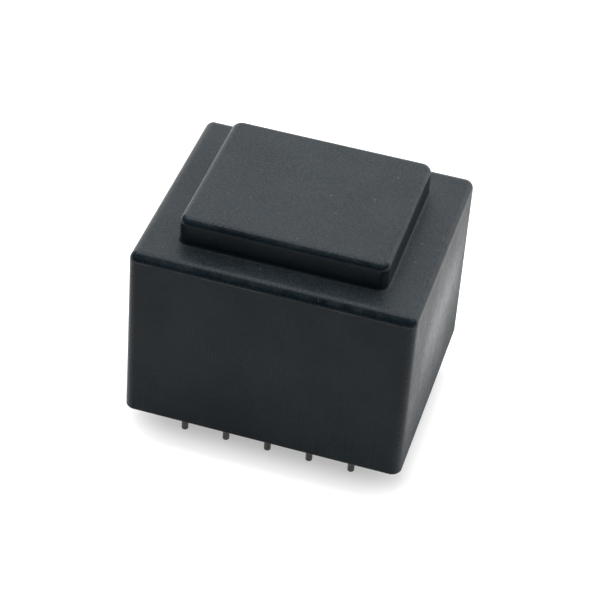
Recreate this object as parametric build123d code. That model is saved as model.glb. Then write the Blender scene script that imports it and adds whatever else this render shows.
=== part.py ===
from build123d import *
import os
from math import copysign, cos, pi, radians, sin, tan

# A potted mains transformer that is soldered to a circuit board. X runs along its longer side, Y across
# its two rows of pins and Z up. The origin is the middle of the pin grid, in the plane of the board that
# the housing's rim stands on, so the pins reach below it. All lengths are in millimetres.

# Core: stamped E and I sheets that lie flat, turned end for end layer by layer
centre_leg = 10.0
side_leg = 5.0
window_width = 5.0
window_length = 15.0
yoke = 5.0
sheet_thickness = 0.48
varnish = 0.02
sheet_count = 25
butt_gap = 0.05

# Bobbin: one moulding with a tube round the centre leg, three flanges and two rails that hold the pins
tube_clearance = 0.1
tube_wall = 0.7
tube_corner = 0.5
flange_thickness = 0.8
flange_edge_gap = 0.3
flange_corner = 1.2
bobbin_end_gap = 0.2
rail_drop = 0.4
rail_past_last_pin = 1.8
rail_inset = 0.2
rail_corner = 0.5
slot_width = 0.9
slot_depth = 1.2

# Windings and the tape over them
primary_spare = 0.8
secondary_spare = 1.0
winding_side_gap = 0.05
layer_gap = 0.02
tape_thickness = 0.13
tape_margin = 0.75

# Pins: round legs, with a fluted root that grips the rail
pin_pitch = 5.0
pins_per_row = 5
pin_diameter = 0.8
pin_length = 4.6
pin_tip = 0.15
root_diameter = 0.88
root_fit = 0.01
root_depth = 3.0
flute_count = 6
flute_depth = 0.03

# Leads from the windings, wound round the roots of their pins
primary_wire = 0.22
secondary_wire = 0.3
wrap_turns = 3
wrap_gap = 0.04
wrap_sides = 12
solder = 0.04
lead_drop = 0.1
lead_bend = 0.35
lead_sides = 8
lead_inset = 0.06
lead_from_corner = 0.5

# Potting resin
resin_recess = 0.5
resin_cover = 0.45

# Housing: a thin moulded cup, open below, with a block on its top that clears the coil
wall = 1.0
roof = 1.2
ledge_thickness = 1.2
draft = 0.5
core_gap = 0.08
core_cover = 1.6
coil_cover = 0.3
block_gap_x = 1.0
block_gap_y = 1.65
top_edge = 0.9
corner_over_edge = 0.1
block_edge = 0.75
block_corner_over_edge = 0.45
rim_edge = 0.15

# Sizes and heights that follow
core_length = centre_leg + 2 * (window_width + side_leg)
core_depth = window_length + 2 * yoke
sheet_pitch = sheet_thickness + varnish
stack_height = sheet_count * sheet_pitch - varnish
flange_reach = window_width - flange_edge_gap
wrap_length = wrap_turns * max(primary_wire, secondary_wire) + 2 * solder
rail_bottom = resin_recess + resin_cover + wrap_length - solder + lead_drop
stack_bottom = rail_bottom + rail_drop + flange_reach
stack_top = stack_bottom + stack_height
stack_middle = (stack_bottom + stack_top) / 2
bobbin_end = window_length / 2 - bobbin_end_gap
chamber_width = bobbin_end - flange_thickness - flange_thickness / 2
tube_x = centre_leg / 2 + tube_clearance + tube_wall
tube_z = stack_height / 2 + tube_clearance + tube_wall
flange_x = centre_leg / 2 + flange_reach
flange_z = stack_height / 2 + flange_reach
primary_build = flange_x - tube_x - primary_spare
secondary_build = flange_x - tube_x - secondary_spare
row_spacing = window_length + yoke
slope = tan(radians(draft))
ledge_top = stack_top + core_cover + ledge_thickness
block_top = stack_top + flange_reach + coil_cover + roof
housing_length = core_length + 2 * (core_gap + wall + stack_top * slope)
housing_width = core_depth + 2 * (core_gap + wall + stack_top * slope)
block_length = 2 * (flange_x + block_gap_x + wall)
block_width = 2 * (bobbin_end + block_gap_y + wall)
upright_corner = top_edge + corner_over_edge + ledge_top * slope
block_corner = block_edge + block_corner_over_edge
root_radius = root_diameter / 2
last_pin_x = (pins_per_row - 1) / 2 * pin_pitch
row_x = [i * pin_pitch - last_pin_x for i in range(pins_per_row)]

standing = (Align.CENTER, Align.CENTER, Align.MIN)
hanging = (Align.CENTER, Align.CENTER, Align.MAX)


def bar_along_y(profile, y_start, y_end):
    """A profile in X and Z, centred on the centre leg's axis, made solid from one Y to another."""
    plane = Plane(origin=(0, y_start, stack_middle), x_dir=(1, 0, 0), z_dir=(0, 1, 0))
    return extrude(plane * profile, y_end - y_start)


def pin_places():
    """Pins 1 to 5 along the front row from the left, then 6 to 10 along the back row from the right."""
    front = [(x, -row_spacing / 2) for x in row_x]
    back = [(x, row_spacing / 2) for x in reversed(row_x)]
    return front + back


def round_top(form, radius):
    return fillet(form.faces().sort_by(Axis.Z)[-1].edges(), radius)


def outer_form():
    """The drafted body and the block on it, with their upright corners and top edges rounded."""
    body = extrude(RectangleRounded(housing_length, housing_width, upright_corner), ledge_top, taper=draft)
    body = chamfer(body.faces().sort_by(Axis.Z)[0].edges(), rim_edge)
    block = extrude(RectangleRounded(block_length, block_width, block_corner), block_top - ledge_top)
    return round_top(body, top_edge) + Pos(0, 0, ledge_top) * round_top(block, block_edge)


def inner_form():
    """The room in the housing. Its corners are plain, since the resin hides them."""
    around_core = Rectangle(housing_length - 2 * wall, housing_width - 2 * wall)
    over_coil = Rectangle(block_length - 2 * wall, block_width - 2 * wall)
    room = extrude(around_core, ledge_top - ledge_thickness, taper=draft)
    return room + extrude(over_coil, block_top - roof)


def sheet_outline():
    """An E and an I sheet together: the plate with its two windows."""
    plate = Rectangle(core_length, core_depth)
    for side in (-1, 1):
        window_x = side * (centre_leg + window_width) / 2
        plate -= Pos(window_x, 0) * Rectangle(window_width, window_length)
    return plate


def core_sheets():
    """Both groups of stamped sheets. Each layer is turned half round from the one below it."""
    loose_yoke = Pos(0, (window_length + yoke) / 2) * Rectangle(core_length, yoke)
    parted = Pos(0, (window_length + yoke - butt_gap) / 2) * Rectangle(core_length, yoke + butt_gap)
    e_sheet = extrude(sheet_outline() - parted, sheet_thickness)
    i_sheet = extrude(sheet_outline() & loose_yoke, sheet_thickness)
    e_sheets = []
    i_sheets = []
    for layer in range(sheet_count):
        place = Pos(0, 0, stack_bottom + layer * sheet_pitch) * Rot(0, 0, 180 * (layer % 2))
        e_sheets.append(place * e_sheet)
        i_sheets.append(place * i_sheet)
    return Compound(children=e_sheets), Compound(children=i_sheets)


def core_envelope():
    return Pos(0, 0, stack_bottom) * extrude(sheet_outline(), stack_height)


def pin_rail():
    """The bar under one end of the core, with its pin holes and the slots that guide the wires."""
    length = 2 * (last_pin_x + rail_past_last_pin)
    y_start = bobbin_end - flange_thickness / 2
    y_end = core_depth / 2 - rail_inset
    height = stack_bottom - rail_bottom
    rail = Pos(0, (y_start + y_end) / 2, rail_bottom) * Box(length, y_end - y_start, height, align=standing)
    outer_corners = rail.edges().filter_by(Axis.Z).group_by(Axis.Y)[-1]
    rail = fillet(outer_corners, rail_corner)
    hole = extrude(root_outline(root_fit), root_depth)
    slot = Box(slot_width, slot_depth, height, align=(Align.CENTER, Align.MAX, Align.MIN))
    for x in row_x:
        rail -= Pos(x, row_spacing / 2, rail_bottom) * hole
    for x in row_x[1:]:
        rail -= Pos(x - pin_pitch / 2, y_end, rail_bottom) * slot
    return rail


def bobbin():
    flange = chamfer(Rectangle(2 * flange_x, 2 * flange_z).vertices(), flange_corner)
    body = bar_along_y(round_tube(0), -bobbin_end, bobbin_end)
    for y in (-bobbin_end, -flange_thickness / 2, bobbin_end - flange_thickness):
        body += bar_along_y(flange, y, y + flange_thickness)
    for turn in (0, 180):
        body += Rot(0, 0, turn) * pin_rail()
    leg_hole = Rectangle(2 * (tube_x - tube_wall), 2 * (tube_z - tube_wall))
    return body - bar_along_y(leg_hole, -bobbin_end, bobbin_end)


def round_tube(distance):
    """The tube's section grown outwards by a distance."""
    return RectangleRounded(2 * (tube_x + distance), 2 * (tube_z + distance), tube_corner + distance)


def wound_ring(clearance, build, y_start, y_end):
    """Wire or tape wound clear of the tube, as one ring of the given build."""
    return bar_along_y(round_tube(clearance + build) - round_tube(clearance), y_start, y_end)


def coil(side, build):
    """The winding in the front (-1) or back (1) chamber, its turn of tape, and the room that they take."""
    y_start, y_end = sorted((side * flange_thickness / 2, side * (flange_thickness / 2 + chamber_width)))
    grown = layer_gap + build + layer_gap
    winding = wound_ring(layer_gap, build, y_start + winding_side_gap, y_end - winding_side_gap)
    tape = wound_ring(grown, tape_thickness, y_start + tape_margin, y_end - tape_margin)
    room = bar_along_y(round_tube(grown + tape_thickness), y_start, y_end)
    return winding, tape, room


def lead(pin_x, side, build, wire):
    """A wire from the winding's underside, led below the flange and soldered round a pin's root."""
    run_z = rail_bottom - lead_drop - wire / 2
    winding_bottom = stack_middle - tube_z - layer_gap - build
    chamber_end = bobbin_end - flange_thickness - winding_side_gap
    start_x = tube_x - tube_corner - lead_from_corner
    start = Vector(copysign(start_x, pin_x), side * (chamber_end - lead_inset - wire / 2), 0)
    pin = Vector(pin_x, side * row_spacing / 2, 0)
    reach = root_radius + wrap_gap + solder + wire / 2
    end = pin + (start - pin).normalized() * reach
    low = Vector(0, 0, run_z)
    bend_start = start + low + Vector(0, 0, lead_bend)
    bend_end = start + low + (end - start).normalized() * lead_bend
    route = Polyline(start + Vector(0, 0, winding_bottom), bend_start, bend_end, end + low)
    section = Plane(origin=route @ 0, z_dir=route % 0) * RegularPolygon(wire / 2, lead_sides)
    run = sweep(section, path=route, transition=Transition.RIGHT)
    return run + Pos(pin.X, pin.Y, run_z + wire / 2 + solder) * soldered_wrap(wire)


def soldered_wrap(wire):
    """The wire's turns round the root, run together by their solder into one barrel below Z = 0."""
    inner = root_radius + wrap_gap
    ring = RegularPolygon(inner + wire + 2 * solder, wrap_sides) - RegularPolygon(inner, wrap_sides)
    return extrude(ring, -(wrap_turns * wire + 2 * solder))


def root_outline(clearance):
    """The section of a pin's root: a star of shallow flutes, grown by a clearance."""
    star = []
    for i in range(2 * flute_count):
        radius = root_radius - flute_depth * (i % 2) + clearance
        star.append((radius * cos(i * pi / flute_count), radius * sin(i * pi / flute_count)))
    return make_face(Polyline(*star, close=True))


def pin():
    """One pin, at the middle of the grid: the fluted root, then the round leg with its cut tip."""
    root_length = rail_bottom + root_depth - resin_recess
    leg = Cylinder(pin_diameter / 2, resin_recess + pin_length, align=hanging)
    tip = leg.edges().sort_by(Axis.Z)[0]
    return Pos(0, 0, resin_recess) * (extrude(root_outline(0), root_length) + chamfer(tip, pin_tip))


def resin(fillings):
    """What the housing holds round its other contents, up to a level just inside its rim."""
    form = inner_form() - Box(housing_length, housing_width, resin_recess, align=standing)
    for piece in fillings:
        form -= piece
    return form


core_e_sheets, core_i_sheets = core_sheets()
primary_winding, primary_tape, primary_room = coil(-1, primary_build)
secondary_winding, secondary_tape, secondary_room = coil(1, secondary_build)

pieces = {
    "bobbin": bobbin(),
    "primary_lead_start": lead(-last_pin_x, -1, primary_build, primary_wire),
    "primary_lead_end": lead(last_pin_x, -1, primary_build, primary_wire),
    "secondary_lead_start": lead(last_pin_x, 1, secondary_build, secondary_wire),
    "secondary_lead_end": lead(-last_pin_x, 1, secondary_build, secondary_wire),
}
for number, (x, y) in enumerate(pin_places(), start=1):
    pieces[f"pin_{number}"] = Pos(x, y, 0) * pin()
inside_tube = bar_along_y(round_tube(0), -bobbin_end, bobbin_end)
rooms = [core_envelope(), inside_tube, primary_room, secondary_room]
pieces["potting_resin"] = resin(rooms + list(pieces.values()))
pieces["primary_winding"] = primary_winding
pieces["secondary_winding"] = secondary_winding
pieces["primary_tape"] = primary_tape
pieces["secondary_tape"] = secondary_tape
pieces["core_e_sheets"] = core_e_sheets
pieces["core_i_sheets"] = core_i_sheets
pieces["housing"] = outer_form() - inner_form()

os.makedirs("parts", exist_ok=True)
for name, piece in pieces.items():
    export_step(piece, f"parts/{name}.step")
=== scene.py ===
import math

import bmesh
import bpy
from mathutils import Matrix, Vector


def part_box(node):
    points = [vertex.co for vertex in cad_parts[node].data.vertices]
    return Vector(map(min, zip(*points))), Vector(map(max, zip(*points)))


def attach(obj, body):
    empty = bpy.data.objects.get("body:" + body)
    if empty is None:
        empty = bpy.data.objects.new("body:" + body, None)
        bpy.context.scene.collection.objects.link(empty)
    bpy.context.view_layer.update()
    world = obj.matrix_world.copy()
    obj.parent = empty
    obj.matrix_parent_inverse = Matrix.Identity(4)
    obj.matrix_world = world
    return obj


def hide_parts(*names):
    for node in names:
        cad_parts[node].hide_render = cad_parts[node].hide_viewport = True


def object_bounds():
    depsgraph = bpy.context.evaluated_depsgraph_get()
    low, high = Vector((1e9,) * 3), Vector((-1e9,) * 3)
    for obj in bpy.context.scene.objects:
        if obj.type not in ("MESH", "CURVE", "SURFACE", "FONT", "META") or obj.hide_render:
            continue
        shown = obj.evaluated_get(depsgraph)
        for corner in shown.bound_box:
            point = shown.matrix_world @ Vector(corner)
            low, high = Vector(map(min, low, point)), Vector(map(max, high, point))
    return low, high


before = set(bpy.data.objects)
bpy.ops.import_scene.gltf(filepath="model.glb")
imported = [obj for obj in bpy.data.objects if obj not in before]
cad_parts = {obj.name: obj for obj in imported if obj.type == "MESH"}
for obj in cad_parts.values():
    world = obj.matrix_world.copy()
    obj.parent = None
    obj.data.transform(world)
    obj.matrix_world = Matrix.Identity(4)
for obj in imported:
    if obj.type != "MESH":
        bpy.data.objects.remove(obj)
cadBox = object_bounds()
print("frame loaded:", len(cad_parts), "nodes")

mm = 0.001


# helpers for nodes

def pickSocket(sockets, key):
    if isinstance(key, int):
        return sockets[key]
    for socket in sockets:
        if socket.name == key and socket.enabled:
            return socket
    raise KeyError(key)


def feed(tree, value, socket):
    if isinstance(value, bpy.types.NodeSocket):
        tree.links.new(value, socket)
    else:
        socket.default_value = value


def addNode(tree, kind, inputs=None, **settings):
    node = tree.nodes.new(kind)
    for name, value in settings.items():
        setattr(node, name, value)
    for key, value in (inputs or {}).items():
        feed(tree, value, pickSocket(node.inputs, key))
    return node


def calc(tree, operation, *values, clamp=False):
    node = addNode(tree, "ShaderNodeMath", operation=operation, use_clamp=clamp)
    for socket, value in zip(node.inputs, values):
        feed(tree, value, socket)
    return node.outputs[0]


def vectorCalc(tree, operation, *values):
    node = addNode(tree, "ShaderNodeVectorMath", operation=operation)
    for socket, value in zip(node.inputs, values):
        feed(tree, value, socket)
    return node.outputs["Value" if operation in ("LENGTH", "DOT_PRODUCT", "DISTANCE") else "Vector"]


def between(tree, value, low, high, newLow=0.0, newHigh=1.0, smooth=True):
    node = addNode(tree, "ShaderNodeMapRange", interpolation_type="SMOOTHSTEP" if smooth else "LINEAR")
    for key, item in zip(("Value", "From Min", "From Max", "To Min", "To Max"), (value, low, high, newLow, newHigh)):
        feed(tree, item, pickSocket(node.inputs, key))
    return node.outputs[0]


def newTree(name, kind, inputs, outputs):
    tree = bpy.data.node_groups.new(name, kind)
    for socketName, socketType, value in inputs:
        socket = tree.interface.new_socket(name=socketName, in_out="INPUT", socket_type="NodeSocket" + socketType)
        if value is not None:
            socket.default_value = value
    for socketName, socketType in outputs:
        tree.interface.new_socket(name=socketName, in_out="OUTPUT", socket_type="NodeSocket" + socketType)
    return tree, tree.nodes.new("NodeGroupInput").outputs, tree.nodes.new("NodeGroupOutput").inputs


# shader groups shared by the materials

# fine spark-eroded grain with slow shade changes
def makeMouldGrain():
    tree, given, out = newTree("mouldGrain", "ShaderNodeTree", [
        ("Vector", "Vector", None),
        ("Grain Size", "Float", 0.12),
        ("Cloud Size", "Float", 6.0),
    ], [("Height", "Float"), ("Shade", "Float")])
    fine = addNode(tree, "ShaderNodeTexNoise", {
        "Vector": given["Vector"],
        "Scale": calc(tree, "DIVIDE", 1.0, given["Grain Size"]),
        "Detail": 2.0,
        "Roughness": 0.6,
    })
    coarse = addNode(tree, "ShaderNodeTexNoise", {
        "Vector": given["Vector"],
        "Scale": calc(tree, "DIVIDE", 0.45, given["Grain Size"]),
        "Detail": 1.0,
    })
    cloud = addNode(tree, "ShaderNodeTexNoise", {
        "Vector": given["Vector"],
        "Scale": calc(tree, "DIVIDE", 1.0, given["Cloud Size"]),
        "Detail": 3.0,
        "Roughness": 0.55,
    })
    height = calc(tree, "ADD", calc(tree, "MULTIPLY", fine.outputs[0], 0.6), calc(tree, "MULTIPLY", coarse.outputs[0], 0.4))
    tree.links.new(height, out["Height"])
    tree.links.new(between(tree, cloud.outputs[0], 0.35, 0.65), out["Shade"])
    return tree


# small scattered spots, one to a cell at most
def makeSpecks():
    tree, given, out = newTree("specks", "ShaderNodeTree", [
        ("Vector", "Vector", None),
        ("Spacing", "Float", 1.0),
        ("Spot Size", "Float", 0.08),
        ("Share", "Float", 0.5),
    ], [("Mask", "Float")])
    cells = addNode(tree, "ShaderNodeTexVoronoi", {
        "Vector": given["Vector"],
        "Scale": calc(tree, "DIVIDE", 1.0, given["Spacing"]),
        "Randomness": 1.0,
    })
    pick = addNode(tree, "ShaderNodeSeparateColor", {0: cells.outputs["Color"]})
    distance = calc(tree, "MULTIPLY", cells.outputs["Distance"], given["Spacing"])
    size = calc(tree, "MULTIPLY", given["Spot Size"], calc(tree, "ADD", 0.4, pick.outputs[1]))
    spot = between(tree, calc(tree, "DIVIDE", distance, size), 1.0, 0.4)
    chosen = calc(tree, "LESS_THAN", pick.outputs[0], given["Share"])
    tree.links.new(calc(tree, "MULTIPLY", spot, chosen), out["Mask"])
    return tree


# long fine marks along one axis, in loose patches
def makeDrawMarks():
    tree, given, out = newTree("drawMarks", "ShaderNodeTree", [
        ("Vector", "Vector", None),
        ("Stretch", "Vector", (1.0, 1.0, 0.03)),
        ("Line Size", "Float", 0.15),
        ("Patch Size", "Float", 5.0),
    ], [("Lines", "Float"), ("Patches", "Float")])
    drawn = vectorCalc(tree, "MULTIPLY", given["Vector"], given["Stretch"])
    lines = addNode(tree, "ShaderNodeTexNoise", {
        "Vector": drawn,
        "Scale": calc(tree, "DIVIDE", 1.0, given["Line Size"]),
        "Detail": 4.0,
        "Roughness": 0.65,
    })
    patchVector = vectorCalc(tree, "MULTIPLY", given["Vector"], (1.0, 1.0, 0.45))
    patches = addNode(tree, "ShaderNodeTexNoise", {
        "Vector": patchVector,
        "Scale": calc(tree, "DIVIDE", 1.0, given["Patch Size"]),
        "Detail": 2.0,
    })
    tree.links.new(between(tree, lines.outputs[0], 0.32, 0.68), out["Lines"])
    tree.links.new(between(tree, patches.outputs[0], 0.4, 0.62), out["Patches"])
    return tree


# breaks an edge mask up into stretches: rubbed wear, and on the housing the painted highlight line
def makeEdgeStretches():
    tree, given, out = newTree("edgeStretches", "ShaderNodeTree", [
        ("Vector", "Vector", None),
        ("Edge", "Float", 0.0),
        ("Patch Size", "Float", 1.5),
        ("Amount", "Float", 0.5),
    ], [("Mask", "Float")])
    patches = addNode(tree, "ShaderNodeTexNoise", {
        "Vector": given["Vector"],
        "Scale": calc(tree, "DIVIDE", 1.0, given["Patch Size"]),
        "Detail": 5.0,
        "Roughness": 0.7,
    })
    start = calc(tree, "SUBTRACT", 1.0, given["Amount"])
    worn = calc(tree, "MULTIPLY", given["Edge"], calc(tree, "ADD", patches.outputs[0], 0.35))
    tree.links.new(between(tree, worn, start, calc(tree, "ADD", start, 0.35)), out["Mask"])
    return tree


mouldGrain = makeMouldGrain()
specks = makeSpecks()
drawMarks = makeDrawMarks()
edgeStretches = makeEdgeStretches()
print("shader groups ready")


def startMaterial(name, **fixed):
    material = bpy.data.materials.new(name)
    material.use_nodes = True
    tree = material.node_tree
    shader = tree.nodes["Principled BSDF"]
    for key, value in fixed.items():
        shader.inputs[key.replace("_", " ")].default_value = value
    coordinates = addNode(tree, "ShaderNodeTexCoord")
    place = vectorCalc(tree, "MULTIPLY", coordinates.outputs["Object"], (1 / mm, 1 / mm, 1 / mm))
    return material, tree, shader, place


def useGroup(tree, group, **inputs):
    node = addNode(tree, "ShaderNodeGroup", node_tree=group)
    for key, value in inputs.items():
        feed(tree, value, node.inputs[key.replace("_", " ")])
    return node.outputs


def mixColor(tree, factor, first, second):
    node = addNode(tree, "ShaderNodeMix", data_type="RGBA")
    feed(tree, factor, node.inputs[0])
    feed(tree, first, node.inputs[6])
    feed(tree, second, node.inputs[7])
    return node.outputs[2]


def attributeValue(tree, name):
    return addNode(tree, "ShaderNodeAttribute", attribute_name=name).outputs["Fac"]


def bumpOnto(tree, shader, height, distance, strength=1.0):
    bump = addNode(tree, "ShaderNodeBump", {"Height": height, "Distance": distance * mm, "Strength": strength})
    tree.links.new(bump.outputs[0], shader.inputs["Normal"])


# camera, at the photograph's angle

photoCamera = {
    "azimuth": 13.76,
    "elevation": 40.12,
    "roll": 4.62,
    "distance": 241.8,
    "aimHeight": 12.0,
    "aside": -0.12,
    "above": -1.55,
    "lens": 127.78,
}


def makeCamera(values):
    azimuth, elevation, roll = (math.radians(values[k]) for k in ("azimuth", "elevation", "roll"))
    back = Vector((math.sin(azimuth) * math.cos(elevation), -math.cos(azimuth) * math.cos(elevation), math.sin(elevation)))
    right = Vector((0, 0, 1)).cross(back).normalized()
    up = back.cross(right)
    turnedRight = right * math.cos(roll) + up * math.sin(roll)
    turnedUp = up * math.cos(roll) - right * math.sin(roll)
    place = Vector((0, 0, values["aimHeight"])) + back * values["distance"]
    place += turnedRight * values["aside"] + turnedUp * values["above"]
    camera = bpy.data.objects.new("camera", bpy.data.cameras.new("camera"))
    bpy.context.scene.collection.objects.link(camera)
    camera.data.lens = values["lens"]
    camera.data.sensor_width = 36
    camera.data.clip_start = 0.01
    camera.data.clip_end = 20
    turn = Matrix((turnedRight, turnedUp, back)).transposed().to_4x4()
    camera.matrix_world = Matrix.Translation(place * mm) @ turn
    bpy.context.scene.camera = camera


makeCamera(photoCamera)
bpy.context.scene.view_settings.view_transform = "Standard"
print("camera placed")


# light, floor and surroundings

studio = {
    "skyDark": 0.065,
    "skyBright": 1.88,
    "overheadGain": 0.55,  # how much brighter it is overhead than near the horizon
    "frontAngle": 81.0,  # the bright part runs from this height in front, over the top, to the horizon behind
    "frontSoft": (-0.08, 0.08),
    "sideSoft": (0.90, 0.55),
    "floorColor": (0.60, 0.60, 0.60, 1),
    "floorLift": 0.42,  # what the camera and mirrored rays see added to the floor
    "floorReach": 1.5,  # to both sides and behind
    "floorFront": 0.16,  # short in front, so that the front roundings mirror the dark room
    "shadeHalf": (15.0, 9.0),  # half sizes of the part of the floor that keeps its full shadow
    "shadeReach": 4.5,
    "shadeFade": 0.40,  # what the camera sees added beyond it
    "topLamp": {"place": (0.0, -0.06, 0.42), "size": 0.24, "power": 0.2},
}


def makeWorld(values):
    world = bpy.data.worlds.new("studioSky")
    bpy.context.scene.world = world
    world.use_nodes = True
    tree = world.node_tree
    background = tree.nodes["Background"]
    direction = addNode(tree, "ShaderNodeTexCoord").outputs["Generated"]
    aside, _, above = addNode(tree, "ShaderNodeSeparateXYZ", {0: direction}).outputs[:3]
    frontAngle = math.radians(values["frontAngle"])
    behind = vectorCalc(tree, "DOT_PRODUCT", direction, (0.0, math.sin(frontAngle), math.cos(frontAngle)))
    bright = between(tree, behind, *values["frontSoft"])
    bright = calc(tree, "MULTIPLY", bright, between(tree, calc(tree, "ABSOLUTE", aside), *values["sideSoft"]))
    bright = calc(tree, "MULTIPLY", bright, between(tree, above, 0.55, 1.0, 1.0, 1.0 + values["overheadGain"]))
    level = calc(tree, "ADD", calc(tree, "MULTIPLY", bright, values["skyBright"]), values["skyDark"])
    path = addNode(tree, "ShaderNodeLightPath")
    seen = calc(tree, "MAXIMUM", path.outputs["Is Camera Ray"], path.outputs["Is Transmission Ray"])
    white = calc(tree, "MULTIPLY", seen, 1.0)
    other = calc(tree, "MULTIPLY", calc(tree, "SUBTRACT", 1.0, seen), level)
    tree.links.new(calc(tree, "ADD", white, other), background.inputs["Strength"])
    background.inputs["Color"].default_value = (1, 1, 1, 1)


def makeFloor(values):
    reach, front = values["floorReach"], -values["floorFront"]
    level = cadBox[0].z
    mesh = bpy.data.meshes.new("floor")
    mesh.from_pydata([(-reach, front, level), (reach, front, level), (reach, reach, level), (-reach, reach, level)], [], [(0, 1, 2, 3)])
    floor = bpy.data.objects.new("floor", mesh)
    bpy.context.scene.collection.objects.link(floor)
    material = bpy.data.materials.new("floorPaper")
    material.use_nodes = True
    tree = material.node_tree
    tree.nodes.clear()
    paper = addNode(tree, "ShaderNodeBsdfDiffuse", {"Color": values["floorColor"]})
    path = addNode(tree, "ShaderNodeLightPath")
    seen = calc(tree, "MAXIMUM", path.outputs["Is Camera Ray"], calc(tree, "MAXIMUM", path.outputs["Is Glossy Ray"], path.outputs["Is Transmission Ray"]))
    place = addNode(tree, "ShaderNodeSeparateXYZ", {0: addNode(tree, "ShaderNodeTexCoord").outputs["Object"]}).outputs
    outside = [calc(tree, "MAXIMUM", calc(tree, "SUBTRACT", calc(tree, "ABSOLUTE", place[i]), values["shadeHalf"][i] * mm), 0.0) for i in (0, 1)]
    away = vectorCalc(tree, "LENGTH", addNode(tree, "ShaderNodeCombineXYZ", {0: outside[0], 1: outside[1]}).outputs[0])
    fade = calc(tree, "MULTIPLY", between(tree, away, 0.0, values["shadeReach"] * mm), values["shadeFade"])
    strength = calc(tree, "ADD", calc(tree, "MULTIPLY", seen, values["floorLift"]), calc(tree, "MULTIPLY", fade, path.outputs["Is Camera Ray"]))
    lift = addNode(tree, "ShaderNodeEmission", {"Strength": strength})
    both = addNode(tree, "ShaderNodeAddShader", {0: paper.outputs[0], 1: lift.outputs[0]})
    addNode(tree, "ShaderNodeOutputMaterial", {"Surface": both.outputs[0]})
    mesh.materials.append(material)


def makeLamp(name, values):
    light = bpy.data.lights.new(name, "AREA")
    light.shape = "SQUARE"
    light.size = values["size"]
    light.energy = values["power"]
    lamp = bpy.data.objects.new(name, light)
    bpy.context.scene.collection.objects.link(lamp)
    lamp.location = values["place"]
    lamp.visible_glossy = False  # the screen alone shows in the gloss
    lamp.rotation_mode = "QUATERNION"
    lamp.rotation_quaternion = (Vector((0, 0, 0.012)) - lamp.location).to_track_quat("-Z", "Y")


makeWorld(studio)
makeFloor(studio)
makeLamp("topLamp", studio["topLamp"])
print("studio ready")


# housing: a profile carried round a rounded rectangle

housingValues = {
    "wall": 1.0,
    "roof": 1.2,
    "ledgeHeight": 22.38,
    "ledgeThickness": 1.2,
    "draft": 0.5,
    "corner": 1.195,
    "topEdge": 1.15,
    "rimEdge": 0.15,
    "blockLength": 23.4,
    "blockWidth": 19.9,
    "blockCorner": 1.2,
    "blockEdge": 0.85,
    "footFillet": 0.25,
    "innerCorner": 0.25,
    "cornerSteps": 12,
    "sideSteps": 26,
    "edgeSteps": 12,
    "sinkDepth": 0.05,
    "waviness": 0.012,
}


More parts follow.
